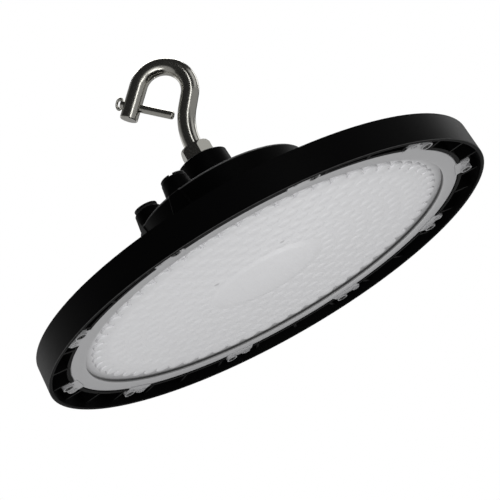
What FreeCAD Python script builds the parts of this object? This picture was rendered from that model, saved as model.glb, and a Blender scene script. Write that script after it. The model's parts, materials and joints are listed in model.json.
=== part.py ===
import FreeCAD, Part
import Sketcher
import math
import os

# LED high bay light: a die-cast rim and finned core, a lens plate below, a driver housing above, and a steel hook.
# Row frame: +Z up, origin at the centre of the rim's bottom edge. All sizes in millimetres.

doc = FreeCAD.newDocument("HighBayLight")
sheet = doc.addObject("Spreadsheet::Sheet", "Sheet")
Z_AXIS = FreeCAD.Vector(0, 0, 1)

DIMENSIONS = {
    # rim, ribs and core of the casting
    "rim_radius": 155, "rim_top_radius": 154.1, "rim_wall": 2.5, "rim_height": 19.5, "rim_edge": 0.5,
    "core_radius": 140.8, "lens_seat_radius": 138.3, "lip_bottom": 4, "core_underside": 14, "core_top": 18,
    "rib_count": 30, "rib_width": 2, "rib_bottom": 3.7, "rib_first_angle": 6,
    "fin_inner_radius": 69, "fin_inner_top": 42, "fin_outer_top": 18.5, "lead_hole_radius": 5,
    # lens plate
    "flange_radius": 138, "flange_bottom": 4.5, "flange_top": 7, "recess_radius": 131, "plate_edge_radius": 128.5, "step_radius": 127.5,
    "plate_bottom": 8, "plate_top": 9.6, "field_bottom": 5.6, "field_radius": 118.5, "tab_count": 10, "tab_reach": 146.5,
    "tab_root": 136, "tab_screw_radius": 143.3, "tab_screw_offset": 6,
    "ring_step": 12, "outer_ring_radius": 117, "lenslet_radius": 5.9,
    # LED board
    "board_radius": 125, "board_bottom": 12, "board_top": 13.6, "chip_side": 3, "chip_height": 0.7,
    "board_screw_radius": 39, "board_screw_count": 5,
    # driver housing
    "housing_radius": 58.9, "housing_top": 65, "housing_wall": 3, "housing_base": 19.2, "foot_radius": 67,
    "foot_height": 4, "boss_radius": 17.2, "boss_top": 94, "entry_radius": 50, "entry_top": 75,
    "entry_top_radius": 8.8, "entry_base_radius": 15.6, "entry_bore_radius": 6, "housing_screw_count": 6,
    "housing_screw_radius": 63.3,
    # hook
    "rod_radius": 6, "nut_flats": 19, "nut_height": 10.4, "shank_bottom": 72, "lean": 37.5, "lean_radius": 43,
    "neck_run": 9.2, "loop_radius": 17.5, "loop_turn": 173.7, "leg_run": 23.8, "pin_hole_radius": 3,
    "pin_radius": 2.7, "pin_from_tip": 9.2, "pin_reach": 28.6, "eye_radius": 3.2, "eye_wire": 1.35,
    # driver board
    "driver_radius": 47, "driver_bottom": 29, "driver_thickness": 1.6, "pillar_radius": 40,
}
for row, (alias, number) in enumerate(DIMENSIONS.items(), start=1):
    sheet.set("A%d" % row, alias)
    sheet.set("B%d" % row, str(number))
    sheet.setAlias("B%d" % row, alias)
doc.recompute()


def size(alias):
    """The number that a cell of the sheet holds."""
    return float(sheet.get(alias))


def bind(item, prop, text):
    """Bind one property of an object to cells of the sheet."""
    item.setExpression(prop, text)


# ---------------------------------------------------------------- sketch and feature helpers

def new_body(label):
    body = doc.addObject("PartDesign::Body", label)
    body.Label = label
    return body


def origin_item(body, role):
    return [item for item in body.Origin.OriginFeatures if item.Role == role][0]


def new_sketch(body, name, role="XZ_Plane", lift=None):
    """A sketch on one of the body's own planes; lift is the cell that holds its height over that plane."""
    sketch = body.newObject("Sketcher::SketchObject", name)
    sketch.AttachmentSupport = [(origin_item(body, role), "")]
    sketch.MapMode = "FlatFace"
    if lift:
        bind(sketch, "AttachmentOffset.Base.z", "Sheet." + lift)
    return sketch


def corner(point):
    """Number for each coordinate of a corner: a cell's alias, or a plain number."""
    return FreeCAD.Vector(*[size(value) if isinstance(value, str) else value for value in point])


def outline(sketch, points):
    """Closed outline; every coordinate given as an alias is a dimension bound to its cell."""
    corners = [corner(point) for point in points]
    first = sketch.GeometryCount
    count = len(points)
    for index in range(count):
        sketch.addGeometry(Part.LineSegment(corners[index], corners[(index + 1) % count]))
    for index in range(count):
        sketch.addConstraint(Sketcher.Constraint("Coincident", first + index, 2, first + (index + 1) % count, 1))
    for index, point in enumerate(points):
        for kind, value, number in zip(("DistanceX", "DistanceY"), point, corners[index]):
            place = sketch.addConstraint(Sketcher.Constraint(kind, -1, 1, first + index, 1, number))
            if isinstance(value, str):
                bind(sketch, "Constraints[%d]" % place, "Sheet." + value)


def turned(label, points):
    """A body turned about Z from its section, given as radius and height pairs."""
    body = new_body(label)
    sketch = new_sketch(body, label + "_section")
    outline(sketch, points)
    turn = body.newObject("PartDesign::Revolution", label + "_turn")
    turn.Profile = sketch
    turn.ReferenceAxis = (sketch, ["V_Axis"])
    turn.Angle = 360
    sketch.Visibility = False
    return body


def add_pad(body, sketch, name, height, symmetric=False, draft=None):
    pad = body.newObject("PartDesign::Pad", name)
    pad.Profile = sketch
    bind(pad, "Length", "Sheet." + height)
    if symmetric:
        pad.SideType = "Symmetric"
    if draft:
        bind(pad, "TaperAngle", "-Sheet." + draft)
    return pad


def cut_through(body, sketch, name):
    """Pocket through everything, both ways."""
    pocket = body.newObject("PartDesign::Pocket", name)
    pocket.Profile = sketch
    pocket.Type = "ThroughAll"
    pocket.SideType = "Symmetric"
    return pocket


def around(body, feature, name, count):
    """Repeat a feature about Z; count is a cell's alias or a number."""
    pattern = body.newObject("PartDesign::PolarPattern", name)
    pattern.Originals = [feature]
    pattern.Axis = (origin_item(body, "Z_Axis"), [""])
    pattern.Angle = 360
    if isinstance(count, str):
        bind(pattern, "Occurrences", "Sheet." + count)
    else:
        pattern.Occurrences = count
    body.Tip = pattern
    return pattern


def polar(radius, degrees, height=0):
    angle = math.radians(degrees)
    return FreeCAD.Vector(radius * math.cos(angle), radius * math.sin(angle), height)


def spread(radius, count, first, height=0):
    return [polar(radius, first + 360.0 * index / count, height) for index in range(count)]


def group(label, shapes):
    """One node that holds several separate solids."""
    item = doc.addObject("Part::Feature", label)
    item.Label = label
    item.Shape = Part.makeCompound(shapes)
    return item


def solid(label, shape):
    item = doc.addObject("Part::Feature", label)
    item.Label = label
    item.Shape = shape
    return item


def block(label, length, width, height, x, y, z):
    box = doc.addObject("Part::Box", label)
    box.Label = label
    box.Length, box.Width, box.Height = length, width, height
    box.Placement.Base = FreeCAD.Vector(x - length / 2, y - width / 2, z)
    return box


def cap_screw(head_radius, head_height, shank_radius, shank_length):
    """Screw with its head below z = 0 and its shank above, with a cross recess in the head."""
    head = Part.makeCylinder(head_radius, head_height, FreeCAD.Vector(0, 0, -head_height))
    head = head.makeChamfer(head_height * 0.35, [edge for edge in head.Edges if edge.BoundBox.ZMax < -head_height / 2
                                                 and edge.BoundBox.XLength > head_radius])
    shank = Part.makeCylinder(shank_radius, shank_length)
    slot = head_radius * 0.28
    bar = Part.makeBox(head_radius * 1.2, slot, head_height * 0.5,
                       FreeCAD.Vector(-head_radius * 0.6, -slot / 2, -head_height))
    cross = bar.fuse(bar.rotated(FreeCAD.Vector(), Z_AXIS, 90))
    return head.fuse(shank).cut(cross).removeSplitter()


def placed(shape, where, upside_down=False):
    copy = shape.copy()
    if upside_down:
        copy.rotate(FreeCAD.Vector(), FreeCAD.Vector(1, 0, 0), 180)
    copy.translate(where)
    return copy


TAB_STEP = 360.0 / size("tab_count")
TAB_SCREWS = [polar(size("tab_screw_radius"), TAB_STEP * index, 0)
              + polar(size("tab_screw_offset"), TAB_STEP * index + 90, 0) for index in range(int(size("tab_count")))]
BOARD_SCREWS = spread(size("board_screw_radius"), int(size("board_screw_count")), -64.6)
HOUSING_SCREWS = spread(size("housing_screw_radius"), int(size("housing_screw_count")), 0)
PILLARS = spread(size("pillar_radius"), 4, 34.4)
ENTRIES = [polar(size("entry_radius"), 245), polar(size("entry_radius"), 204)]
PILOT = 1.3

# ---------------------------------------------------------------- casting: rim, ribs, core and fins

heat_sink = turned("heat_sink", [
    ("lead_hole_radius", "core_underside"), ("recess_radius", "core_underside"), ("recess_radius", "flange_top"),
    ("lens_seat_radius", "flange_top"), ("lens_seat_radius", "lip_bottom"), ("core_radius", "lip_bottom"),
    ("core_radius", "core_top"), ("lead_hole_radius", "core_top")])

# the rim is a second turned section, joined to the core by the ribs
rim_inner = size("rim_radius") - size("rim_wall")
ribs_sketch = new_sketch(heat_sink, "rib_section")
half_rib_step = FreeCAD.Rotation(FreeCAD.Vector(0, 1, 0), size("rib_first_angle"))
ribs_sketch.AttachmentOffset = FreeCAD.Placement(FreeCAD.Vector(), half_rib_step)
outline(ribs_sketch, [
    (138.8, "flange_top"), (138.8 + 1.5, "rib_bottom"), (153.4, "rib_bottom"), (153.4, "fin_outer_top"),
    (146, "fin_outer_top"), (92, 33), ("fin_inner_radius", "fin_inner_top"), ("fin_inner_radius", 17), (138.8, 17)])
rib = add_pad(heat_sink, ribs_sketch, "rib", "rib_width", symmetric=True)
around(heat_sink, rib, "ribs", "rib_count")
rim_sketch = new_sketch(heat_sink, "rim_section")
outline(rim_sketch, [
    (rim_inner + 0.6, 0), (rim_inner + 1.7, 0), ("rim_radius", "rim_edge"), ("rim_top_radius", "rim_height"),
    (rim_inner - 0.2, "rim_height"), (rim_inner, "rim_edge")])
rim = heat_sink.newObject("PartDesign::Revolution", "rim")
rim.Profile = rim_sketch
rim.ReferenceAxis = (rim_sketch, ["V_Axis"])
rim.Angle = 360

# a cast seat behind each lens tab, open to the slot outside it
seat_sketch = new_sketch(heat_sink, "tab_seat_outline", "XY_Plane", "flange_top")
outline(seat_sketch, [(139.5, -11.5), (148.5, -11), (148.5, 11), (139.5, 11.5)])
seat = heat_sink.newObject("PartDesign::Pad", "tab_seat")
seat.Profile = seat_sketch
seat.Length = 11
around(heat_sink, seat, "tab_seats", "tab_count")
notch_sketch = new_sketch(heat_sink, "tab_notch_outline", "XY_Plane", "flange_top")
outline(notch_sketch, [(137, -10.6), (142, -10.6), (142, 10.6), (137, 10.6)])
notch = heat_sink.newObject("PartDesign::Pocket", "tab_notch")
notch.Profile = notch_sketch
notch.Length = 4
around(heat_sink, notch, "tab_notches", "tab_count")
screw_holes = Part.makeCompound(
    [Part.makeCylinder(PILOT, 9, where + FreeCAD.Vector(0, 0, 6)) for where in TAB_SCREWS]
    + [Part.makeCylinder(PILOT, 4, where + FreeCAD.Vector(0, 0, 13)) for where in BOARD_SCREWS]
    + [Part.makeCylinder(PILOT, 3.6, where + FreeCAD.Vector(0, 0, 14.4)) for where in PILLARS]
    + [Part.makeCylinder(PILOT, 4, where + FreeCAD.Vector(0, 0, 14.4)) for where in HOUSING_SCREWS])

doc.recompute()
drills = doc.addObject("Part::Feature", "screw_hole_drills")
drills.Shape = screw_holes
sink = doc.addObject("Part::Cut", "heat_sink_drilled")
sink.Base = heat_sink
sink.Tool = drills

# ---------------------------------------------------------------- lens plate with its tabs and small lenses

lens = turned("lens_plate", [
    (0, "field_bottom"), ("field_radius", "field_bottom"), (119.2, "plate_bottom"), ("step_radius", "plate_bottom"),
    (129.2, "flange_bottom"), ("flange_radius", "flange_bottom"),
    ("flange_radius", "flange_top"), (130.2, "flange_top"), ("plate_edge_radius", "plate_top"), (0, "plate_top")])
tab_sketch = new_sketch(lens, "tab_outline", "XY_Plane", "flange_bottom")
outline(tab_sketch, [
    ("tab_root", -10), (141.5, -10), (143, -9.4), ("tab_reach", -7.6), ("tab_reach", -3.4), (144, -2), (144, 2),
    ("tab_reach", 3.4), ("tab_reach", 7.6), (143, 9.4), (141.5, 10), ("tab_root", 10)])
tab = lens.newObject("PartDesign::Pad", "tab")
tab.Profile = tab_sketch
bind(tab, "Length", "Sheet.flange_top - Sheet.flange_bottom")
around(lens, tab, "tabs", "tab_count")
hole_sketch = new_sketch(lens, "tab_hole_outline", "XY_Plane")
hole = hole_sketch.addGeometry(Part.Circle(FreeCAD.Vector(size("tab_screw_radius"), size("tab_screw_offset"), 0), Z_AXIS, 1.8))
hole_sketch.addConstraint(Sketcher.Constraint("Radius", hole, 1.8))
tab_hole = cut_through(lens, hole_sketch, "tab_hole")
around(lens, tab_hole, "tab_holes", "tab_count")


def lenslet(radius, height):
    """Small lens as a six-sided dome of two tiers, its base in the XY plane and its crown below."""
    tiers = [(radius, 0.0), (radius * 0.86, -0.55 * height), (radius * 0.4, -height)]
    loops = [[FreeCAD.Vector(r * math.cos(math.radians(60 * k)), r * math.sin(math.radians(60 * k)), z)
              for k in range(6)] for r, z in tiers]
    faces = []
    for upper, lower in zip(loops, loops[1:]):
        for k in range(6):
            corners = [upper[k], upper[(k + 1) % 6], lower[(k + 1) % 6], lower[k]]
            faces.append(Part.Face(Part.makePolygon(corners + corners[:1])))
    for loop in (loops[0], loops[-1]):
        faces.append(Part.Face(Part.makePolygon(loop + loop[:1])))
    return Part.makeSolid(Part.makeShell(faces))


dome = lenslet(size("lenslet_radius"), size("plate_bottom") - size("flange_bottom"))
LENSLET_PLACES = []
for ring_number in range(7):
    ring_radius = size("outer_ring_radius") - ring_number * size("ring_step")
    ring_count = 60 - 6 * ring_number
    for index in range(ring_count):
        LENSLET_PLACES.append((ring_radius, (index + 0.5) * 360.0 / ring_count))
domes = []
for ring_radius, degrees in LENSLET_PLACES:
    copy = dome.rotated(FreeCAD.Vector(), Z_AXIS, degrees)
    copy.translate(polar(ring_radius, degrees, size("plate_bottom")))
    domes.append(copy)
doc.recompute()
lens_domes = doc.addObject("Part::Feature", "small_lenses")
lens_domes.Shape = Part.makeCompound(domes)
lens_cover = doc.addObject("Part::Fuse", "lens_with_domes")
lens_cover.Base = lens
lens_cover.Tool = lens_domes

lens_gasket = turned("lens_gasket", [(132.5, "flange_top"), (135.5, "flange_top"), (135.5, 8.2), (132.5, 8.2)])
groove = turned("gasket_groove", [(132.5, 6.5), (135.5, 6.5), (135.5, 8.2), (132.5, 8.2)])

# ---------------------------------------------------------------- LED board, chips and pad

led_board = turned("led_board_disc", [
    ("lead_hole_radius", "board_bottom"), ("board_radius", "board_bottom"), ("board_radius", "board_top"),
    ("lead_hole_radius", "board_top")])
thermal_pad = turned("thermal_pad_disc", [
    ("lead_hole_radius", "board_top"), ("board_radius", "board_top"), ("board_radius", "core_underside"),
    ("lead_hole_radius", "core_underside")])
side = size("chip_side")
chips = []
for ring_radius, degrees in LENSLET_PLACES:
    chip = Part.makeBox(side, side, size("chip_height"), FreeCAD.Vector(-side / 2, -side / 2, 0))
    chip.rotate(FreeCAD.Vector(), Z_AXIS, degrees)
    chip.translate(polar(ring_radius, degrees, size("board_bottom") - size("chip_height")))
    chips.append(chip)
led_chips = group("led_chips", chips)
board_holes = Part.makeCompound([Part.makeCylinder(1.7, 4, where + FreeCAD.Vector(0, 0, 11)) for where in BOARD_SCREWS])

# ---------------------------------------------------------------- driver housing

outer = size("housing_radius")
inner = outer - size("housing_wall")
housing = turned("housing_shell", [
    (inner, "housing_base"), ("foot_radius", "housing_base"), ("foot_radius", 22.6), (66.4, 23.2), (60.1, 23.2),
    (59.4, 24.2), ("housing_radius", "housing_top"), (58.1, 65.8), (30, 68.2), (20.4, 69.6), (18.4, 71.6),
    ("boss_radius", 92.8), (15, "boss_top"), (5.1, "boss_top"), (5.1, 66), (13, 65.4), (30, 64.6), (inner, 61.4)])
doc.recompute()
bosses = []
bores = []
for where in ENTRIES:
    foot = size("housing_base") + size("foot_height")
    boss = Part.makeCone(size("entry_base_radius"), size("entry_top_radius"), size("entry_top") - foot,
                         where + FreeCAD.Vector(0, 0, foot))
    boss = boss.makeChamfer(0.7, [edge for edge in boss.Edges if edge.BoundBox.ZMin > size("entry_top") - 0.1])
    wall_line = Part.makeCone(outer + 1.2, outer + 0.4, 60, FreeCAD.Vector(0, 0, foot))
    hollow = Part.makeCylinder(inner - 0.5, 40, FreeCAD.Vector(0, 0, foot - 2))
    bosses.append(boss.common(wall_line).cut(hollow))
    bores.append(Part.makeCylinder(size("entry_bore_radius"), 40, where + FreeCAD.Vector(0, 0, 50)))
set_screw_hole = Part.makeCylinder(2.5, 20, FreeCAD.Vector(0, 5, 86), FreeCAD.Vector(0, 1, 0))
foot_holes = [Part.makeCylinder(2.2, 8, where + FreeCAD.Vector(0, 0, 17)) for where in HOUSING_SCREWS]
hook_bore = Part.makeCylinder(size("rod_radius"), 30, FreeCAD.Vector(0, 0, size("shank_bottom")))
housing_add = doc.addObject("Part::Feature", "entry_bosses")
housing_add.Shape = bosses[0].fuse(bosses[1])
housing_cuts = doc.addObject("Part::Feature", "housing_bores")
housing_cuts.Shape = Part.makeCompound(bores + foot_holes + [hook_bore, set_screw_hole])
housing_fused = doc.addObject("Part::Fuse", "housing_fused")
housing_fused.Base = housing
housing_fused.Tool = housing_add
driver_housing = doc.addObject("Part::Cut", "housing_bored")
driver_housing.Base = housing_fused
driver_housing.Tool = housing_cuts
housing_gasket = turned("housing_gasket_ring", [(inner, 18), ("foot_radius", 18), ("foot_radius", "housing_base"),
                                                (inner, "housing_base")])

# ---------------------------------------------------------------- hook, nut, set screw and split pin


def hook_path():
    """Centreline in the XZ plane: shank, lean to one side, loop, and the leg that comes back down."""
    lean = math.radians(size("lean"))
    turn_end = lean - math.radians(size("loop_turn"))
    lean_radius = size("lean_radius")
    neck_start = size("boss_top") + size("nut_height")
    start = FreeCAD.Vector(0, 0, size("shank_bottom"))
    neck = FreeCAD.Vector(0, 0, neck_start)

    def lean_point(angle):
        return neck + FreeCAD.Vector(lean_radius * (1 - math.cos(angle)), 0, lean_radius * math.sin(angle))

    leaned = lean_point(lean)
    up_neck = FreeCAD.Vector(math.sin(lean), 0, math.cos(lean))
    loop_start = leaned + up_neck * size("neck_run")
    centre = loop_start + FreeCAD.Vector(-math.cos(lean), 0, math.sin(lean)) * size("loop_radius")

    def loop_point(angle):
        return centre + FreeCAD.Vector(math.cos(angle), 0, -math.sin(angle)) * size("loop_radius")

    loop_end = loop_point(turn_end)
    down_leg = FreeCAD.Vector(math.sin(turn_end), 0, math.cos(turn_end))
    tip = loop_end + down_leg * size("leg_run")
    edges = [
        Part.LineSegment(start, neck).toShape(),
        Part.Arc(neck, lean_point(lean / 2), leaned).toShape(),
        Part.LineSegment(leaned, loop_start).toShape(),
        Part.Arc(loop_start, loop_point((lean + turn_end) / 2), loop_end).toShape(),
        Part.LineSegment(loop_end, tip).toShape()]
    return Part.Wire(edges), tip, down_leg, centre


hook_wire, hook_tip, leg_way, loop_centre = hook_path()
rod_section = Part.Wire(Part.makeCircle(size("rod_radius"), FreeCAD.Vector(0, 0, size("shank_bottom"))))
rod = hook_wire.makePipeShell([rod_section], True, False)
pin_cross = hook_tip - leg_way * size("pin_from_tip")
pin_way = FreeCAD.Vector(-leg_way.z, 0, leg_way.x)
pin_bore = Part.makeCylinder(size("pin_hole_radius"), 30, pin_cross - pin_way * 15, pin_way)
hook = solid("hook", rod.cut(pin_bore))
print("hook volume", rod.Volume, "section times length", math.pi * size("rod_radius") ** 2 * hook_wire.Length)

# the eye is a flattened ring that bears on the rod
squeeze = 0.62
narrow = FreeCAD.Matrix()
narrow.scale(squeeze, 1, 1)
eye = Part.makeTorus(size("eye_radius"), size("eye_wire")).transformGeometry(narrow)
eye_reach = (size("eye_radius") + size("eye_wire")) * squeeze
eye_across = FreeCAD.Vector(leg_way.x * 0.94, 0.34, leg_way.z * 0.94).normalize()
eye.Placement = FreeCAD.Placement(pin_cross - pin_way * (size("rod_radius") + eye_reach),
                                  FreeCAD.Rotation(pin_way, eye_across, FreeCAD.Vector(), "XYZ"))
stem = Part.makeCylinder(size("pin_radius"), size("pin_reach") + size("rod_radius") + 2, pin_cross
                         - pin_way * (size("rod_radius") + 2), pin_way)
tip_edges = [edge for edge in stem.Edges if (edge.CenterOfMass - pin_cross).dot(pin_way) > size("pin_reach") - 0.1
             and edge.Length < 20 and len(edge.Vertexes) == 1]
stem = stem.makeFillet(1.2, tip_edges)
split_pin = solid("split_pin", stem.fuse(eye))

nut_corner = size("nut_flats") / math.sqrt(3)
nut_bottom = FreeCAD.Vector(0, 0, size("boss_top"))
hexagon = Part.makePolygon([polar(nut_corner, 60 * k + 43.5, size("boss_top")) for k in range(7)])
nut_block = Part.Face(hexagon).extrude(FreeCAD.Vector(0, 0, size("nut_height")))
bevel = Part.makeCone(nut_corner + 5.2, nut_corner - 1.3, 13, nut_bottom - FreeCAD.Vector(0, 0, 2.6))
nut_block = nut_block.common(bevel).cut(Part.makeCylinder(size("rod_radius"), 20, nut_bottom))
hook_nut = solid("hook_nut", nut_block)
grub = Part.makeCylinder(2.4, 8.8, FreeCAD.Vector(0, 6, 86), FreeCAD.Vector(0, 1, 0))
socket = Part.Face(Part.makePolygon([FreeCAD.Vector(1.3 * math.cos(math.radians(60 * k)), 14.8,
                                                    86 + 1.3 * math.sin(math.radians(60 * k))) for k in range(7)]))
hook_set_screw = solid("hook_set_screw", grub.cut(socket.extrude(FreeCAD.Vector(0, -2.4, 0))))

# ---------------------------------------------------------------- cable entries

mains, spare = ENTRIES
top = size("entry_top")
bore = size("entry_bore_radius")
cable_seal = solid("cable_seal", Part.makeCylinder(bore, 7, mains + FreeCAD.Vector(0, 0, top - 12)).cut(
    Part.makeCylinder(4, 7, mains + FreeCAD.Vector(0, 0, top - 12))))


def hexagon_head(across_flats, height, where):
    points = [FreeCAD.Vector(where.x, where.y, where.z) + polar(across_flats / math.sqrt(3), 60 * k) for k in range(7)]
    return Part.Face(Part.makePolygon(points)).extrude(FreeCAD.Vector(0, 0, height))


bush = Part.makeCylinder(bore, 5, mains + FreeCAD.Vector(0, 0, top - 5))
flange = Part.makeCylinder(8.4, 2.2, mains + FreeCAD.Vector(0, 0, top))
bush = bush.fuse(flange.makeChamfer(0.6, [edge for edge in flange.Edges if edge.BoundBox.ZMin > top + 2]))
spanner_slots = [Part.makeBox(20, 2.4, 1.4, mains + FreeCAD.Vector(-10, -1.2, top + 1))]
spanner_slots.append(spanner_slots[0].rotated(mains, Z_AXIS, 90))
gland_bore = Part.makeCylinder(4.2, 10, mains + FreeCAD.Vector(0, 0, top - 6))
entry_gland = solid("entry_gland", bush.cut(Part.makeCompound(spanner_slots + [gland_bore])))
plug = Part.makeCylinder(bore, 7, spare + FreeCAD.Vector(0, 0, top - 7))
plug = plug.fuse(Part.makeCylinder(7.8, 1.6, spare + FreeCAD.Vector(0, 0, top + 1)))
plug = plug.fuse(Part.makeCylinder(6, 1, spare + FreeCAD.Vector(0, 0, top)))
coin_slot = Part.makeBox(12, 1.6, 1, spare + FreeCAD.Vector(-6, -0.8, top + 1.7))
blanking_plug = solid("blanking_plug", plug.cut(coin_slot))
plug_seal = solid("plug_seal", Part.makeCylinder(7.8, 1, spare + FreeCAD.Vector(0, 0, top)).cut(
    Part.makeCylinder(6, 1, spare + FreeCAD.Vector(0, 0, top))))

# ---------------------------------------------------------------- driver inside the housing

low = size("driver_bottom")
high = low + size("driver_thickness")
board = Part.makeCylinder(size("driver_radius"), size("driver_thickness"), FreeCAD.Vector(0, 0, low))
board_cuts = [Part.makeCylinder(1.7, 4, where + FreeCAD.Vector(0, 0, low - 1)) for where in PILLARS]
driver_board = solid("driver_board", board.cut(Part.makeCompound(board_cuts)))
pillars = []
for where in PILLARS:
    post = hexagon_head(6, low - 18, where + FreeCAD.Vector(0, 0, 18))
    post = post.cut(Part.makeCylinder(PILOT, low - 20, where + FreeCAD.Vector(0, 0, 20)))
    pillars.append(post.fuse(Part.makeCylinder(PILOT, 3.6, where + FreeCAD.Vector(0, 0, 14.4))))
board_pillars = group("board_pillars", pillars)
driver_screw = cap_screw(2.8, 2, 1.3, 6)
driver_screws = group("driver_screws", [placed(driver_screw, where + FreeCAD.Vector(0, 0, high), True)
                                        for where in PILLARS])
core_plate = Part.makeBox(28, 24, 5, FreeCAD.Vector(-26, -12, high + 2)).fuse(
    Part.makeBox(28, 24, 5, FreeCAD.Vector(-26, -12, high + 17)))
winding = Part.makeBox(20, 30, 24, FreeCAD.Vector(-22, -15, high))
transformer = solid("transformer", core_plate.fuse(winding).removeSplitter())
choke = solid("choke", Part.makeTorus(8, 4, FreeCAD.Vector(14, 20, high + 4)))
capacitors = [Part.makeCylinder(6, 25, FreeCAD.Vector(14 + 14 * k, -18, high)) for k in range(2)]
bulk_capacitors = group("bulk_capacitors", [can.makeChamfer(0.8, [can.Edges[0]]) for can in capacitors])
input_capacitor = block("input_capacitor", 17, 8, 12, 24, 3, high)
power_transistors = group("power_transistors", [
    Part.makeBox(10, 4.5, 16, FreeCAD.Vector(-22 + 12 * k, 23, high)) for k in range(2)])
transistor_strip = block("transistor_strip", 22, 1.5, 20, -11, 28.25, high)
terminal_block = block("terminal_block", 15, 9, 11, -10, -31, high)
fuse_tube = doc.addObject("Part::Cylinder", "fuse")
fuse_tube.Label = "fuse"
fuse_tube.Radius, fuse_tube.Height = 2.5, 18
fuse_tube.Placement = FreeCAD.Placement(FreeCAD.Vector(38, -6, high + 2.5), FreeCAD.Rotation(Z_AXIS, FreeCAD.Vector(0, 1, 0)))
surge = doc.addObject("Part::Cylinder", "surge_disc")
surge.Label = "surge_disc"
surge.Radius, surge.Height = 5, 4
surge.Placement = FreeCAD.Placement(FreeCAD.Vector(8, -34, high + 5), FreeCAD.Rotation(Z_AXIS, FreeCAD.Vector(0, -1, 0)))
led_leads = group("led_leads", [Part.makeCylinder(0.9, low - 13.6, FreeCAD.Vector(x, 0, 13.6)) for x in (-1.6, 1.6)])
grommet = Part.makeCylinder(5, 4, FreeCAD.Vector(0, 0, 14)).fuse(Part.makeCylinder(7, 1.2, FreeCAD.Vector(0, 0, 18)))
lead_bores = Part.makeCompound([Part.makeCylinder(0.9, 8, FreeCAD.Vector(x, 0, 13)) for x in (-1.6, 1.6)])
lead_grommet = solid("lead_grommet", grommet.cut(lead_bores))

# ---------------------------------------------------------------- screws

small_screw = cap_screw(2.9, 1.8, PILOT, 7)
lens_screws = group("lens_screws", [
    placed(small_screw, where + FreeCAD.Vector(0, 0, size("flange_bottom"))) for where in TAB_SCREWS])
board_screws = group("board_screws", [
    placed(cap_screw(2.9, 1.8, PILOT, 5), where + FreeCAD.Vector(0, 0, size("board_bottom")))
    for where in BOARD_SCREWS])
housing_screws = group("housing_screws", [
    placed(cap_screw(3, 2.4, PILOT, 8.8), where + FreeCAD.Vector(0, 0, 23.2), True) for where in HOUSING_SCREWS])


def cut_copy(label, base, tool):
    cut = doc.addObject("Part::Cut", label)
    cut.Label = label
    cut.Base = base
    cut.Tool = tool
    return cut


def tool(label, shape):
    item = doc.addObject("Part::Feature", label)
    item.Shape = shape
    return item


doc.recompute()
heat_sink_done = cut_copy("heat_sink_grooved", sink, groove)
led_board_done = cut_copy("led_board_drilled", led_board, tool("board_drills", board_holes))
pad_done = cut_copy("thermal_pad_drilled", thermal_pad, tool("pad_drills", board_holes))
foot_drills = Part.makeCompound([Part.makeCylinder(2.2, 4, where + FreeCAD.Vector(0, 0, 17)) for where in HOUSING_SCREWS])
gasket_done = cut_copy("housing_gasket_drilled", housing_gasket, tool("gasket_drills", foot_drills))
doc.recompute()

NODES = {
    "heat_sink": heat_sink_done, "lens_cover": lens_cover, "lens_gasket": lens_gasket, "lens_screws": lens_screws,
    "led_board": led_board_done, "led_chips": led_chips, "thermal_pad": pad_done, "board_screws": board_screws,
    "driver_housing": driver_housing, "housing_gasket": gasket_done, "housing_screws": housing_screws,
    "hook": hook, "hook_nut": hook_nut, "hook_set_screw": hook_set_screw, "split_pin": split_pin,
    "cable_seal": cable_seal, "entry_gland": entry_gland, "blanking_plug": blanking_plug, "plug_seal": plug_seal,
    "driver_board": driver_board, "board_pillars": board_pillars, "driver_screws": driver_screws,
    "transformer": transformer, "choke": choke, "bulk_capacitors": bulk_capacitors,
    "input_capacitor": input_capacitor, "power_transistors": power_transistors,
    "transistor_strip": transistor_strip, "terminal_block": terminal_block, "fuse": fuse_tube,
    "surge_disc": surge, "led_leads": led_leads, "lead_grommet": lead_grommet,
}

for item in doc.Objects:
    if "Invalid" in item.State or "Error" in item.State:
        raise RuntimeError("failed object: " + item.Name)
os.makedirs("parts", exist_ok=True)
for name, item in NODES.items():
    shape = item.Shape
    if shape.isNull() or not shape.isValid() or not shape.Solids:
        raise RuntimeError("bad shape: " + name)
    shape.exportStep("parts/" + name + ".step")
    print("%-18s solids %3d volume %10.0f" % (name, len(shape.Solids), shape.Volume))
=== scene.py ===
# %% [markdown]
# # High bay light
# The CAD solids give every piece its size and place. This script loads them as a fixed frame, gives each
# one its finish, and adds the pieces whose look needs a finer mesh: the lens plate and the bent hook.

# %% Load the frame
import json
import math

import bmesh
import bpy
from mathutils import Matrix, Vector


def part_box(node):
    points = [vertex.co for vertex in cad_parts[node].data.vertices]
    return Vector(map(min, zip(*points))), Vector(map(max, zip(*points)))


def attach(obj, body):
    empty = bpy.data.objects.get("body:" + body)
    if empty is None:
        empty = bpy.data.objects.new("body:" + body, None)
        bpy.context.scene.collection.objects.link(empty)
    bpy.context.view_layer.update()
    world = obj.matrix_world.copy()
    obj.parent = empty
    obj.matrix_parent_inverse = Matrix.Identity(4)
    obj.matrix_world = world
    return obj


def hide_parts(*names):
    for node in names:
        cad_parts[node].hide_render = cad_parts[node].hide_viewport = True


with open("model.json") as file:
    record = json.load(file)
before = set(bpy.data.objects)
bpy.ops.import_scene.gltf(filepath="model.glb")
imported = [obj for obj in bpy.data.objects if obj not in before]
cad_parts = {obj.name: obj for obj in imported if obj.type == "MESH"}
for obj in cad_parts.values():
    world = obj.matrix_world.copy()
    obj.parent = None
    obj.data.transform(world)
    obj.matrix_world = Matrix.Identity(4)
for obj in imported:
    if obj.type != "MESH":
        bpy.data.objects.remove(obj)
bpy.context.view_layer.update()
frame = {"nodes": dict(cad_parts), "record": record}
nodes = frame["nodes"]
MM = 0.001

# %% [markdown]
# ## Camera
# The light hangs at a slant and is seen from a little below. The camera looks along +Y from under the rim
# and is rolled, so that the lamp's axis leans to the left in the picture.

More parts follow.
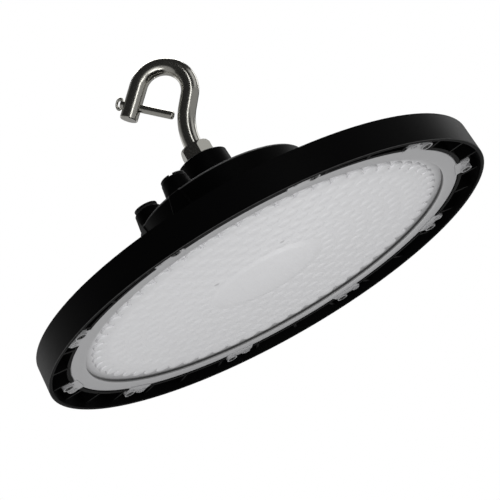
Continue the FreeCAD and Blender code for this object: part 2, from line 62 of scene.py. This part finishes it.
# %% Camera
ELEVATION = math.radians(-16.794)
ROLL = math.radians(-29.579)
DISTANCE = 1.15328
SIDEWAYS, UPWARDS = 0.013214, -0.020332
LENS_LENGTH, SENSOR = 131.61, 36.0

back = Vector((0, -math.cos(ELEVATION), math.sin(ELEVATION)))
level_right = Vector((1, 0, 0))
level_up = back.cross(level_right)
right = math.cos(ROLL) * level_right + math.sin(ROLL) * level_up
up = -math.sin(ROLL) * level_right + math.cos(ROLL) * level_up
place = -SIDEWAYS * right - UPWARDS * up + DISTANCE * back

camera_data = bpy.data.cameras.new("camera")
camera_data.lens = LENS_LENGTH
camera_data.sensor_width = SENSOR
camera = bpy.data.objects.new("camera", camera_data)
bpy.context.scene.collection.objects.link(camera)
camera.matrix_world = Matrix((
    (right.x, up.x, back.x, place.x), (right.y, up.y, back.y, place.y),
    (right.z, up.z, back.z, place.z), (0, 0, 0, 1)))
bpy.context.scene.camera = camera
print("camera at", tuple(round(v, 3) for v in place))

# %% [markdown]
# ## Finishes
# Every finish starts from one Principled shader. Small differences in roughness and a fine bump come from
# noise on Object coordinates, so they stay put on the piece from every side.

# %% A helper for finishes
BUMP_DEPTH = 0.2 * MM


def finish(name, colour, roughness, metallic=0.0, specular=0.5, spread=0.0, bump=0.0, scale=400.0):
    """A Principled material whose roughness varies by spread, with a fine bump of that strength."""
    material = bpy.data.materials.new(name)
    material.use_nodes = True
    tree = material.node_tree
    shader = tree.nodes["Principled BSDF"]
    shader.inputs["Base Color"].default_value = (*colour, 1)
    shader.inputs["Roughness"].default_value = roughness
    shader.inputs["Metallic"].default_value = metallic
    shader.inputs["Specular IOR Level"].default_value = specular
    if spread or bump:
        place_node = tree.nodes.new("ShaderNodeTexCoord")
        noise = tree.nodes.new("ShaderNodeTexNoise")
        noise.inputs["Scale"].default_value = scale
        noise.inputs["Detail"].default_value = 3
        tree.links.new(place_node.outputs["Object"], noise.inputs["Vector"])
    if spread:
        vary = tree.nodes.new("ShaderNodeMapRange")
        vary.inputs["To Min"].default_value = roughness - spread
        vary.inputs["To Max"].default_value = roughness + spread
        tree.links.new(noise.outputs["Fac"], vary.inputs["Value"])
        tree.links.new(vary.outputs["Result"], shader.inputs["Roughness"])
    if bump:
        relief = tree.nodes.new("ShaderNodeBump")
        relief.inputs["Strength"].default_value = bump
        relief.inputs["Distance"].default_value = BUMP_DEPTH
        tree.links.new(noise.outputs["Fac"], relief.inputs["Height"])
        tree.links.new(relief.outputs["Normal"], shader.inputs["Normal"])
    return material


# %% The finishes themselves
finishes = {
    "black_coat": finish("black powder coat", (0.0007, 0.0007, 0.0008), 0.5, specular=0.055, spread=0.06,
                         bump=0.25, scale=1800),
    "milky_lens": finish("milky polycarbonate", (0.62, 0.62, 0.635), 0.32, specular=0.4, spread=0.05),
    "stainless": finish("satin stainless steel", (0.5, 0.49, 0.45), 0.2, metallic=1.0, spread=0.05, bump=0.1,
                        scale=900),
    "zinc_steel": finish("bright zinc steel", (0.62, 0.62, 0.6), 0.3, metallic=1.0, spread=0.05),
    "silicone": finish("grey silicone", (0.1, 0.1, 0.1), 0.6, bump=0.1),
    "black_rubber": finish("black rubber", (0.012, 0.012, 0.012), 0.7, specular=0.3, bump=0.3),
    "white_board": finish("white solder mask", (0.82, 0.82, 0.81), 0.45, spread=0.05),
    "led": finish("LED phosphor", (0.85, 0.72, 0.3), 0.5, bump=0.1),
    "pad_grey": finish("thermal pad", (0.45, 0.47, 0.5), 0.8, bump=0.2),
    "green_board": finish("green solder mask", (0.02, 0.14, 0.05), 0.4, spread=0.05),
    "black_plastic": finish("black moulded plastic", (0.003, 0.003, 0.003), 0.5, specular=0.15, bump=0.2),
    "copper": finish("enamelled copper", (0.55, 0.2, 0.06), 0.35, metallic=1.0, bump=0.3),
    "capacitor_sleeve": finish("capacitor sleeve", (0.03, 0.03, 0.07), 0.3, spread=0.04),
    "yellow_case": finish("yellow case", (0.6, 0.42, 0.05), 0.5, bump=0.1),
    "green_block": finish("green moulding", (0.03, 0.28, 0.1), 0.5, bump=0.1),
    "blue_disc": finish("dipped blue coat", (0.03, 0.09, 0.4), 0.3, spread=0.04),
    "bare_aluminium": finish("bare aluminium", (0.7, 0.7, 0.7), 0.35, metallic=1.0, spread=0.05),
    "fuse_glass": finish("fuse glass", (0.8, 0.85, 0.85), 0.1, spread=0.02),
    "lead_red": finish("red insulation", (0.4, 0.02, 0.02), 0.5, bump=0.1),
    # near-black metal for the lens screws: painted shade that makes their holes read dark
    "screw_dark_for_hole_shade": finish("screw steel darkened for hole shade", (0.05, 0.05, 0.05), 0.35, metallic=1.0, spread=0.05),
}
slots = {entry["node"]: entry["material_slot"] for entry in frame["record"]["subparts"]}
for name, piece in nodes.items():
    piece.data.materials.clear()
    piece.data.materials.append(finishes[slots[name]])
# the lens screws take it in place of their slot's finish, as painted shade in their holes
nodes["lens_screws"].data.materials[0] = finishes["screw_dark_for_hole_shade"]
print("finishes made:", len(finishes))

# %% [markdown]
# ## Tones that follow the turned shape
# The milky lens is palest in the middle, over the white LED board, and darker on the flange, which lies on
# the black casting. Two thin dark lines of painted shade follow the wall of its step. Two faint dark marks
# stand for screws behind the lens. Their places are their own: they don't lie over the frame's board screws.
# Pale lines along turned edges of the black coat are painted highlights.

# %% Helpers for tones


def around_axis(tree):
    """Sockets for the Object coordinates, the same without height, and the distance from the lamp's axis."""
    place_node = tree.nodes.new("ShaderNodeTexCoord")
    flat = tree.nodes.new("ShaderNodeVectorMath")
    flat.operation = "MULTIPLY"
    flat.inputs[1].default_value = (1, 1, 0)
    length = tree.nodes.new("ShaderNodeVectorMath")
    length.operation = "LENGTH"
    tree.links.new(place_node.outputs["Object"], flat.inputs[0])
    tree.links.new(flat.outputs[0], length.inputs[0])
    return place_node.outputs["Object"], flat.outputs[0], length.outputs["Value"]


def painted_over(tree, tone, colour, share):
    """The socket of a tone with another colour laid over it where share is 1."""
    mix = tree.nodes.new("ShaderNodeMix")
    mix.data_type = "RGBA"
    mix.inputs["B"].default_value = colour
    tree.links.new(share, mix.inputs["Factor"])
    tree.links.new(tone, mix.inputs["A"])
    return mix.outputs["Result"]


# %% The lens's tones
# greys by radius in metres, painted shade lines on the step's wall as grey and two radii in mm, and marks as
# x and y in mm
LENS_BANDS = [(0, 0.70), (0.045, 0.68), (0.108, 0.66), (0.1185, 0.60), (0.1225, 0.52), (0.1238, 0.44),
              (0.1265, 0.38), (0.130, 0.35), (0.139, 0.35), (0.141, 0.30), (0.150, 0.30)]
BLUE_TINT = 1.02
WALL_SHADE_LINES = ((0.24, 127.37, 127.63), (0.035, 127.44, 127.54))
SCREW_MARKS = ((-29.7, -36.2), (18.0, -46.7))
MARK_COLOUR, MARK_EDGE, MARK_CORE = (0.45, 0.45, 0.46, 1), 2.2 * MM, 1.0 * MM


def tone_by_radius(material, bands):
    """Colour that changes with the distance from the lamp's axis, with painted shade lines on the step's
    wall and two dark marks; bands are (radius, grey) pairs.
    """
    tree = material.node_tree
    _, flat, length = around_axis(tree)
    scale = tree.nodes.new("ShaderNodeMapRange")
    scale.inputs["From Max"].default_value = bands[-1][0]
    ramp = tree.nodes.new("ShaderNodeValToRGB")
    tree.links.new(length, scale.inputs["Value"])
    tree.links.new(scale.outputs["Result"], ramp.inputs["Fac"])
    stops = ramp.color_ramp.elements
    for index, (radius, grey) in enumerate(bands):
        stop = stops[index] if index < 2 else stops.new(1.0)
        stop.position = radius / bands[-1][0]
        stop.color = (grey, grey, grey * BLUE_TINT, 1)
    tone = ramp.outputs["Color"]
    # painted shade: two thin dark lines on the wall of the step
    for grey, inner, outer in WALL_SHADE_LINES:
        wall_shade = tree.nodes.new("ShaderNodeMath")
        wall_shade.operation = "COMPARE"
        wall_shade.inputs[1].default_value = (inner + outer) / 2 * MM
        wall_shade.inputs[2].default_value = (outer - inner) / 2 * MM
        tree.links.new(length, wall_shade.inputs[0])
        tone = painted_over(tree, tone, (grey, grey, grey, 1), wall_shade.outputs[0])
    for x, y in SCREW_MARKS:
        spot = tree.nodes.new("ShaderNodeVectorMath")
        spot.operation = "DISTANCE"
        spot.inputs[1].default_value = (x * MM, y * MM, 0)
        tree.links.new(flat, spot.inputs[0])
        shade = tree.nodes.new("ShaderNodeMapRange")
        shade.inputs["From Min"].default_value = MARK_EDGE
        shade.inputs["From Max"].default_value = MARK_CORE
        tree.links.new(spot.outputs["Value"], shade.inputs["Value"])
        tone = painted_over(tree, tone, MARK_COLOUR, shade.outputs["Result"])
    tree.links.new(tone, tree.nodes["Principled BSDF"].inputs["Base Color"])


tone_by_radius(finishes["milky_lens"], LENS_BANDS)
print("bands of tone on the lens:", len(LENS_BANDS))

# %% Painted highlights along edges of the black coat
# edges as radius, height and reach in mm, each with a painted highlight; the highlight is full over this
# share of the reach
EDGE_HIGHLIGHTS = [(155, 0, 0.6), (58.9, 65, 0.7)]
PAINTED_HIGHLIGHT_GREY, FULL_SHARE = 0.07, 0.6


def paint_edge_highlights(material, rings, grey):
    """Painted highlights along turned edges; rings are (radius, height, reach) triples in millimetres."""
    tree = material.node_tree
    place, _, length = around_axis(tree)
    split = tree.nodes.new("ShaderNodeSeparateXYZ")
    section = tree.nodes.new("ShaderNodeCombineXYZ")
    tree.links.new(place, split.inputs[0])
    tree.links.new(length, section.inputs["X"])
    tree.links.new(split.outputs["Z"], section.inputs["Z"])
    total = None
    for radius, height, reach in rings:
        away = tree.nodes.new("ShaderNodeVectorMath")
        away.operation = "DISTANCE"
        away.inputs[1].default_value = (radius * MM, 0, height * MM)
        tree.links.new(section.outputs[0], away.inputs[0])
        near = tree.nodes.new("ShaderNodeMapRange")
        near.inputs["From Min"].default_value = reach * MM
        near.inputs["From Max"].default_value = reach * FULL_SHARE * MM
        tree.links.new(away.outputs["Value"], near.inputs["Value"])
        if total is None:
            total = near.outputs["Result"]
        else:
            most = tree.nodes.new("ShaderNodeMath")
            most.operation = "MAXIMUM"
            tree.links.new(total, most.inputs[0])
            tree.links.new(near.outputs["Result"], most.inputs[1])
            total = most.outputs[0]
    shader = tree.nodes["Principled BSDF"]
    mix = tree.nodes.new("ShaderNodeMix")
    mix.data_type = "RGBA"
    mix.inputs["A"].default_value = shader.inputs["Base Color"].default_value
    mix.inputs["B"].default_value = (grey, grey, grey, 1)
    tree.links.new(total, mix.inputs["Factor"])
    tree.links.new(mix.outputs["Result"], shader.inputs["Base Color"])


# painted highlights along the rim's lower edge and the housing's top edge
paint_edge_highlights(finishes["black_coat"], EDGE_HIGHLIGHTS, PAINTED_HIGHLIGHT_GREY)
# the counted edges are those with painted highlights
print("edges of thin coat:", len(EDGE_HIGHLIGHTS))

# %% [markdown]
# ## Lens plate
# The real plate is one moulding of milky polycarbonate: a flat flange with ten tabs, a step up, and rings
# of small domes. The plate is turned from its section, and the domes, which repeat by a rule, come from
# Geometry Nodes: each ring is a circle of points, and one dome is set on every point.

# %% Sizes of the lens plate
lens_low, lens_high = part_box("lens_cover")
SHOULDER, PLATE_DEPTH, FIELD_DEPTH, RECESS_RISE = 2.6 * MM, 3.5 * MM, 1.1 * MM, 0.7 * MM
FLANGE_LOW, FLANGE_TOP = lens_low.z, lens_high.z - SHOULDER
PLATE_LOW, PLATE_TOP = FLANGE_LOW + PLATE_DEPTH, lens_high.z
FIELD_LOW, FIELD_RADIUS = FLANGE_LOW + FIELD_DEPTH, 116.6 * MM
RECESS = PLATE_LOW - RECESS_RISE
FLANGE_RADIUS, STEP_RADIUS = 138 * MM, 127.5 * MM
SHOULDER_LOW_RADIUS, SHOULDER_HIGH_RADIUS = 130.2 * MM, 128.4 * MM
FIELD_SLOPE, WALL_SLOPE, EDGE_ROUND = 0.4 * MM, 0.1 * MM, 0.5 * MM
OUTER_RING, RING_STEP, RINGS, OUTER_COUNT, COUNT_STEP = 117 * MM, 12 * MM, 7, 60, 6
print("lens from", round(FLANGE_LOW, 4), "to", round(PLATE_TOP, 4))

# %% The flat plate and flange
# the smooth disc in the middle, as radius and rise in mm
MIDDLE_DISC = [(0, 0.8), (32, 0.75), (35, 0.6), (38.5, 0.15), (41, 0)]
PLATE_STEPS, WELD = 360, 1e-6


def turned_mesh(name, section, steps):
    """A closed mesh made by turning a section of radius and height pairs once about Z."""
    mesh = bmesh.new()
    corners = [mesh.verts.new((radius, 0, height)) for radius, height in section]
    edges = [mesh.edges.new((a, b)) for a, b in zip(corners, corners[1:])]
    bmesh.ops.spin(mesh, geom=corners + edges, cent=(0, 0, 0), axis=(0, 0, 1), angle=math.tau, steps=steps,
                   use_merge=True)
    bmesh.ops.remove_doubles(mesh, verts=mesh.verts, dist=WELD)
    bmesh.ops.recalc_face_normals(mesh, faces=mesh.faces)
    data = bpy.data.meshes.new(name)
    mesh.to_mesh(data)
    mesh.free()
    piece = bpy.data.objects.new(name, data)
    bpy.context.scene.collection.objects.link(piece)
    return piece


def smooth(piece, degrees=35):
    """Smooth shading with creases kept above an angle."""
    piece.data.shade_smooth()
    piece.data.set_sharp_from_angle(angle=math.radians(degrees))
    return piece


lens_section = [(radius * MM, FIELD_LOW - rise * MM) for radius, rise in MIDDLE_DISC] + [
    (FIELD_RADIUS, FIELD_LOW), (FIELD_RADIUS + FIELD_SLOPE, RECESS), (STEP_RADIUS - WALL_SLOPE, RECESS),
    (STEP_RADIUS + WALL_SLOPE, FLANGE_LOW + WALL_SLOPE), (STEP_RADIUS + EDGE_ROUND, FLANGE_LOW),
    (FLANGE_RADIUS - EDGE_ROUND, FLANGE_LOW), (FLANGE_RADIUS, FLANGE_LOW + EDGE_ROUND),
    (FLANGE_RADIUS, FLANGE_TOP), (SHOULDER_LOW_RADIUS, FLANGE_TOP), (SHOULDER_HIGH_RADIUS, PLATE_TOP),
    (0, PLATE_TOP)]
plate = turned_mesh("lens_plate", lens_section, PLATE_STEPS)
print("plate vertices:", len(plate.data.vertices))

# %% The tabs, each with a raised ring round its screw and round its hole
TABS, TAB_DROP, TAB_SCREW_RADIUS, COLLAR_ROOT = 10, 0.55 * MM, 143.3 * MM, 1 * MM
TAB_OUTLINE = [(136, -10), (141.5, -10), (143, -9.4), (146.5, -7.6), (146.5, -3.4), (144, -2), (144, 2),
               (146.5, 3.4), (146.5, 7.6), (143, 9.4), (141.5, 10), (136, 10)]
# collars as place across the tab, inner radius, outer radius and drop below the flange, in mm
COLLARS = ((6, 3.0, 3.8, 1.7), (-6, 1.5, 2.6, 1.2))


def prism(mesh, outline, low, high):
    """Adds a closed prism over an outline."""
    floor = [mesh.verts.new((x, y, low)) for x, y in outline]
    roof = [mesh.verts.new((x, y, high)) for x, y in outline]
    mesh.faces.new(floor[::-1])
    mesh.faces.new(roof)
    count = len(outline)
    for index in range(count):
        after = (index + 1) % count
        mesh.faces.new((floor[index], floor[after], roof[after], roof[index]))


def collar(mesh, centre, inner, outer, low, high):
    """Adds a short upright tube: a raised ring round a hole."""
    steps = 24
    loops = [[mesh.verts.new((centre.x + radius * math.cos(math.tau * k / steps),
                              centre.y + radius * math.sin(math.tau * k / steps), height))
              for k in range(steps)]
             for radius, height in ((inner, low), (outer, low), (outer, high), (inner, high))]
    for first, second in zip(loops, loops[1:] + loops[:1]):
        for k in range(steps):
            mesh.faces.new((first[k], first[(k + 1) % steps], second[(k + 1) % steps], second[k]))


tab_mesh = bmesh.new()
for number in range(TABS):
    turn = Matrix.Rotation(math.tau * number / TABS, 4, "Z")
    outline = [(turn @ Vector((x * MM, y * MM, 0))).xy for x, y in TAB_OUTLINE]
    prism(tab_mesh, outline, FLANGE_LOW - TAB_DROP, FLANGE_TOP)
    for across, inner, outer, drop in COLLARS:
        collar(tab_mesh, turn @ Vector((TAB_SCREW_RADIUS, across * MM, 0)), inner * MM, outer * MM,
               FLANGE_LOW - drop * MM, FLANGE_LOW + COLLAR_ROOT)
bmesh.ops.recalc_face_normals(tab_mesh, faces=tab_mesh.faces)
tab_data = bpy.data.meshes.new("lens_tabs")
tab_mesh.to_mesh(tab_data)
tab_mesh.free()
tabs = bpy.data.objects.new("lens_tabs", tab_data)
bpy.context.scene.collection.objects.link(tabs)
print("tab vertices:", len(tabs.data.vertices))

# %% One dome
# tiers as radius and depth in mm
DOME_TIERS = [(5.8, 0), (5.55, 1.2), (5.3, 2.1), (5.0, 2.34), (4.4, 2.43), (3.6, 2.49), (2.6, 2.53),
              (1.3, 2.56)]
CROWN = 2.57 * MM
dome_mesh = bmesh.new()
AROUND = 20
profile = [(radius * MM, -depth * MM) for radius, depth in DOME_TIERS]
loops = [[dome_mesh.verts.new((r * math.cos(math.tau * k / AROUND), r * math.sin(math.tau * k / AROUND), z))
          for k in range(AROUND)] for r, z in profile]
for upper, lower in zip(loops, loops[1:]):
    for k in range(AROUND):
        dome_mesh.faces.new((upper[k], lower[k], lower[(k + 1) % AROUND], upper[(k + 1) % AROUND]))
crown = dome_mesh.verts.new((0, 0, -CROWN))
for k in range(AROUND):
    dome_mesh.faces.new((loops[-1][k], crown, loops[-1][(k + 1) % AROUND]))
dome_mesh.faces.new(loops[0])
bmesh.ops.recalc_face_normals(dome_mesh, faces=dome_mesh.faces)
dome_data = bpy.data.meshes.new("dome")
dome_mesh.to_mesh(dome_data)
dome_mesh.free()
dome_data.shade_smooth()
dome = bpy.data.objects.new("dome", dome_data)
bpy.context.scene.collection.objects.link(dome)
print("faces in one dome:", len(dome_data.polygons))

# %% [markdown]
# The tree below joins one mesh circle per ring, each turned by half the spacing of its points. Each circle's
# points carry a copy of the dome, and the copies are made real at the end.

# %% The tree that sets domes on rings


def dome_rings_tree():
    """A tree that sets one dome on every point of several mesh circles."""
    tree = bpy.data.node_groups.new("dome rings", "GeometryNodeTree")
    face = tree.interface
    face.new_socket("Geometry", in_out="INPUT", socket_type="NodeSocketGeometry")
    for label, value in (("Outer radius", OUTER_RING), ("Ring step", RING_STEP), ("Height", PLATE_LOW)):
        face.new_socket(label, in_out="INPUT", socket_type="NodeSocketFloat").default_value = value
    for label, value in (("Outer count", OUTER_COUNT), ("Count step", COUNT_STEP)):
        face.new_socket(label, in_out="INPUT", socket_type="NodeSocketInt").default_value = value
    face.new_socket("Dome", in_out="INPUT", socket_type="NodeSocketObject")
    face.new_socket("Material", in_out="INPUT", socket_type="NodeSocketMaterial")
    face.new_socket("Geometry", in_out="OUTPUT", socket_type="NodeSocketGeometry")
    add = tree.nodes.new
    link = tree.links.new
    given = add("NodeGroupInput")
    join = add("GeometryNodeJoinGeometry")

    def calculate(operation, first, second):
        node = add("ShaderNodeMath")
        node.operation = operation
        for socket, value in zip(node.inputs, (first, second)):
            if isinstance(value, (int, float)):
                socket.default_value = value
            else:
                link(value, socket)
        return node.outputs[0]

    for number in range(RINGS):
        radius = calculate("SUBTRACT", given.outputs["Outer radius"],
                           calculate("MULTIPLY", given.outputs["Ring step"], number))
        count = calculate("SUBTRACT", given.outputs["Outer count"],
                          calculate("MULTIPLY", given.outputs["Count step"], number))
        circle = add("GeometryNodeMeshCircle")
        link(count, circle.inputs["Vertices"])
        link(radius, circle.inputs["Radius"])
        half_step = calculate("DIVIDE", math.pi, count)
        turn = add("ShaderNodeCombineXYZ")
        link(half_step, turn.inputs["Z"])
        lift = add("ShaderNodeCombineXYZ")
        link(given.outputs["Height"], lift.inputs["Z"])
        move = add("GeometryNodeTransform")
        link(circle.outputs["Mesh"], move.inputs["Geometry"])
        link(turn.outputs["Vector"], move.inputs["Rotation"])
        link(lift.outputs["Vector"], move.inputs["Translation"])
        link(move.outputs["Geometry"], join.inputs["Geometry"])
    shape = add("GeometryNodeObjectInfo")
    link(given.outputs["Dome"], shape.inputs["Object"])
    copies = add("GeometryNodeInstanceOnPoints")
    link(join.outputs["Geometry"], copies.inputs["Points"])
    link(shape.outputs["Geometry"], copies.inputs["Instance"])
    real = add("GeometryNodeRealizeInstances")
    link(copies.outputs["Instances"], real.inputs["Geometry"])
    paint = add("GeometryNodeSetMaterial")
    link(real.outputs["Geometry"], paint.inputs["Geometry"])
    link(given.outputs["Material"], paint.inputs["Material"])
    result = add("NodeGroupOutput")
    link(paint.outputs["Geometry"], result.inputs[0])
    return tree


def grown(name, tree, values):
    """The plain mesh that a tree makes with those inputs, as a new object."""
    holder = bpy.data.objects.new(name + "_holder", bpy.data.meshes.new(name + "_holder"))
    bpy.context.scene.collection.objects.link(holder)
    modifier = holder.modifiers.new("grow", "NODES")
    modifier.node_group = tree
    for item in tree.interface.items_tree:
        if item.item_type == "SOCKET" and item.in_out == "INPUT" and item.name in values:
            modifier[item.identifier] = values[item.name]
    depsgraph = bpy.context.evaluated_depsgraph_get()
    data = bpy.data.meshes.new_from_object(holder.evaluated_get(depsgraph))
    bpy.data.objects.remove(holder)
    piece = bpy.data.objects.new(name, data)
    bpy.context.scene.collection.objects.link(piece)
    return piece


domes = grown("lens_domes", dome_rings_tree(), {"Dome": dome, "Material": finishes["milky_lens"]})
bpy.data.objects.remove(dome)
print("domes made, faces:", len(domes.data.polygons))

# %% Join the lens plate, tabs and domes into one piece


def joined(name, pieces):
    """One mesh from several, each with its place in its vertices."""
    mesh = bmesh.new()
    for piece in pieces:
        mesh.from_mesh(piece.data)
        bpy.data.objects.remove(piece)
    data = bpy.data.meshes.new(name)
    mesh.to_mesh(data)
    mesh.free()
    whole = bpy.data.objects.new(name, data)
    bpy.context.scene.collection.objects.link(whole)
    return whole


lens = smooth(joined("lens_moulding", [plate, tabs, domes]), 40)
lens.data.materials.clear()
lens.data.materials.append(finishes["milky_lens"])
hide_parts("lens_cover")
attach(lens, "root")
print("lens moulding faces:", len(lens.data.polygons))

# %% [markdown]
# ## Hook
# The hook is one bent rod. A curve that follows its centreline gives the smoothest rod: a straight shank, a
# lean to one side, most of a circle, and the leg that comes back down to a flat tip.

# %% The hook's centreline
hook_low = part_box("hook")[0]
ROD = 6 * MM
LEAN, TURN = math.radians(37.5), math.radians(173.7)
NECK, LEAN_RADIUS, NECK_RUN, LOOP_RADIUS, LEG = 104.4 * MM, 43 * MM, 9.2 * MM, 17.5 * MM, 23.8 * MM
LEAN_STEPS, LOOP_STEPS, ROD_SIDES = 16, 48, 48
FOOT_RUN, TIP_LENGTH, TIP_BEVEL = 1 * MM, 0.5 * MM, 0.45 * MM


def hook_centreline():
    """Points along the rod, closer together round the bends."""
    neck = Vector((0, 0, NECK))
    points = [Vector((0, 0, hook_low.z)), Vector((0, 0, hook_low.z + FOOT_RUN))]
    for k in range(LEAN_STEPS + 1):
        a = LEAN * k / LEAN_STEPS
        points.append(neck + LEAN_RADIUS * Vector((1 - math.cos(a), 0, math.sin(a))))
    start = points[-1] + NECK_RUN * Vector((math.sin(LEAN), 0, math.cos(LEAN)))
    centre = start + LOOP_RADIUS * Vector((-math.cos(LEAN), 0, math.sin(LEAN)))
    for k in range(LOOP_STEPS + 1):
        a = LEAN - TURN * k / LOOP_STEPS
        points.append(centre + LOOP_RADIUS * Vector((math.cos(a), 0, -math.sin(a))))
    way = Vector((math.sin(LEAN - TURN), 0, math.cos(LEAN - TURN)))
    points.append(points[-1] + LEG * way)
    return points, way


def swept(name, sections):
    """A closed round rod with a ring of corners at each (point, direction, radius) section."""
    mesh = bmesh.new()
    rings = []
    across = Vector((0, 1, 0))
    for centre, way, radius in sections:
        out = across.cross(way).normalized()
        rings.append([mesh.verts.new(centre + radius * (math.cos(math.tau * k / ROD_SIDES) * across
                                                        + math.sin(math.tau * k / ROD_SIDES) * out))
                      for k in range(ROD_SIDES)])
    for first, second in zip(rings, rings[1:]):
        for k in range(ROD_SIDES):
            after = (k + 1) % ROD_SIDES
            mesh.faces.new((first[k], first[after], second[after], second[k]))
    mesh.faces.new(rings[0][::-1])
    mesh.faces.new(rings[-1])
    bmesh.ops.recalc_face_normals(mesh, faces=mesh.faces)
    data = bpy.data.meshes.new(name)
    mesh.to_mesh(data)
    mesh.free()
    piece = bpy.data.objects.new(name, data)
    bpy.context.scene.collection.objects.link(piece)
    return piece


rod_points, leg_way = hook_centreline()
ways = [(b - a).normalized() for a, b in zip(rod_points, rod_points[1:])]
rod_sections = []
for index, point in enumerate(rod_points):
    before = ways[max(index - 1, 0)]
    after = ways[min(index, len(ways) - 1)]
    rod_sections.append((point, (before + after).normalized(), ROD))
tip = rod_points[-1]
rod_sections[-1:] = [(tip - TIP_LENGTH * leg_way, leg_way, ROD), (tip, leg_way, ROD - TIP_BEVEL)]
hook = smooth(swept("hook_rod", rod_sections), 30)
hook.data.materials.append(finishes["stainless"])
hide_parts("hook")
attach(hook, "root")
print("hook faces:", len(hook.data.polygons))

# %% [markdown]
# ## Light and background
# The room is white to the camera and through clear pieces. Mirror rays don't see that white: they see a
# nearly black room that is grey at the far left, so that the black casting stays black and the steel keeps
# a dark side. All other light from the room is grey. Large soft lamps stand below, above and on both sides.

# %% World
world = bpy.data.worlds.new("white room")
bpy.context.scene.world = world
world.use_nodes = True
sky = world.node_tree
sky.nodes.clear()
ROOM_LIGHT, ROOM_IN_MIRRORS, LEFT_IN_MIRRORS = 0.40, 0.025, 0.4
FAR_LEFT, FADE_START, FADE_END = (-0.8, 0.6, 0), 0.4, 0.85
ray = sky.nodes.new("ShaderNodeLightPath")
seen = sky.nodes.new("ShaderNodeMath")
seen.operation = "MAXIMUM"
sky.links.new(ray.outputs["Is Camera Ray"], seen.inputs[0])
sky.links.new(ray.outputs["Is Transmission Ray"], seen.inputs[1])
way = sky.nodes.new("ShaderNodeTexCoord")
towards = sky.nodes.new("ShaderNodeVectorMath")
towards.operation = "DOT_PRODUCT"
towards.inputs[1].default_value = FAR_LEFT
sky.links.new(way.outputs["Generated"], towards.inputs[0])
side = sky.nodes.new("ShaderNodeMapRange")
side.inputs["From Min"].default_value = FADE_START
side.inputs["From Max"].default_value = FADE_END
side.inputs["To Min"].default_value = ROOM_IN_MIRRORS
side.inputs["To Max"].default_value = LEFT_IN_MIRRORS
sky.links.new(towards.outputs["Value"], side.inputs["Value"])
dull = sky.nodes.new("ShaderNodeMapRange")
dull.inputs["To Min"].default_value = ROOM_LIGHT
sky.links.new(side.outputs["Result"], dull.inputs["To Max"])
sky.links.new(ray.outputs["Is Glossy Ray"], dull.inputs["Value"])
level = sky.nodes.new("ShaderNodeMix")
level.inputs["B"].default_value = 1.0
sky.links.new(seen.outputs[0], level.inputs["Factor"])
sky.links.new(dull.outputs["Result"], level.inputs["A"])
backdrop = sky.nodes.new("ShaderNodeBackground")
backdrop.inputs["Color"].default_value = (1, 1, 1, 1)
sky.links.new(level.outputs["Result"], backdrop.inputs["Strength"])
room = sky.nodes.new("ShaderNodeOutputWorld")
sky.links.new(backdrop.outputs["Background"], room.inputs["Surface"])
print("room light:", ROOM_LIGHT, "in mirrors:", ROOM_IN_MIRRORS, "to", LEFT_IN_MIRRORS)

# %% Lamps
CENTRE = (0, 0, 0.03)
# lamps as name, place, power in watts, side in metres, and height where the lamp is a rectangle
LAMPS = (
    ("below", (-0.2, -0.9, -1.0), 10.2, 1.0), ("far strip", (0.1, 1.3, -0.7), 0.25, 0.12),
    ("back left", (-1.1, 1.1, 0.6), 1.2, 0.7), ("back right", (1.1, 1.1, 0.55), 3.2, 0.7),
    ("right card", (1.25, -0.1, 0.42), 1.3, 0.8), ("above", (0.2, 1.0, 1.5), 22, 1.2),
    ("thin front light", (0.62, -1.1, 0.1), 2.2, 0.16, 1.3),
    ("low front light", (0.15, -1.2, -0.35), 0.9, 1.0, 0.16))


def lamp(name, place, power, across, height=None):
    """A soft lamp turned to the light's middle: square, or a rectangle where it has a height."""
    data = bpy.data.lights.new(name, "AREA")
    data.size = across
    data.energy = power
    if height:
        data.shape = "RECTANGLE"
        data.size_y = height
    item = bpy.data.objects.new(name, data)
    item.location = place
    item.rotation_euler = (Vector(CENTRE) - Vector(place)).to_track_quat("-Z", "Y").to_euler()
    bpy.context.scene.collection.objects.link(item)


for settings in LAMPS:
    lamp(*settings)
print("lamps made:", len(LAMPS))

# %% Floor
FLOOR_LEVEL, FLOOR_SIDE = -1.6, 60.0
floor_mesh = bmesh.new()
bmesh.ops.create_grid(floor_mesh, x_segments=1, y_segments=1, size=FLOOR_SIDE / 2)
floor_data = bpy.data.meshes.new("floor")
floor_mesh.to_mesh(floor_data)
floor_mesh.free()
floor = bpy.data.objects.new("floor", floor_data)
floor.location.z = FLOOR_LEVEL
floor.data.materials.append(finish("pale floor", (0.9, 0.9, 0.9), 0.9, specular=0.1))
bpy.context.scene.collection.objects.link(floor)
print("floor at", FLOOR_LEVEL)

bpy.context.scene.view_settings.view_transform = "Standard"
